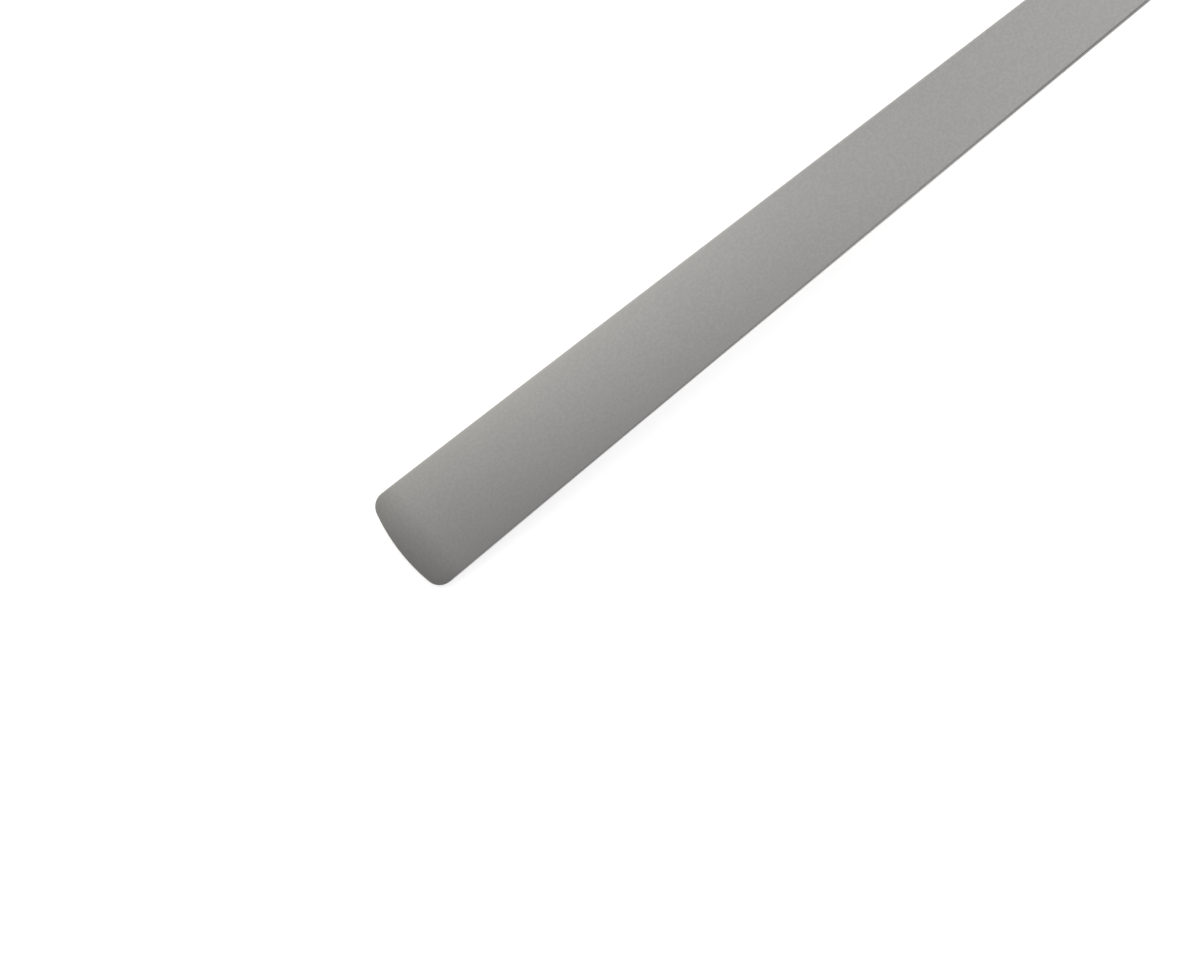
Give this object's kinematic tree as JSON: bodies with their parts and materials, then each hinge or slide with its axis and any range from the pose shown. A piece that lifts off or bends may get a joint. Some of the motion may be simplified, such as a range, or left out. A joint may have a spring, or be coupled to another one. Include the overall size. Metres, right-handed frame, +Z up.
{
  "type": "soup spoon",
  "caption": "One-piece matt steel soup spoon: a flat handle that tapers from a squared, gently arched end to a thick neck, and a deep egg-shaped bowl.",
  "frame": {"origin": "on the table, under the middle of the spoon's length and width", "axes": "+X along the spoon from the handle to the tip of the bowl, +Y across, +Z up out of the bowl"},
  "size_m": [0.198, 0.042, 0.0143],
  "materials": {
    "matt_steel": "stainless steel tumbled to an even, very fine satin matt, slightly warm grey, a little smoother along its edges"
  },
  "bodies": {
    "root": {"soup_spoon": "matt_steel"}
  },
  "joints": []
}
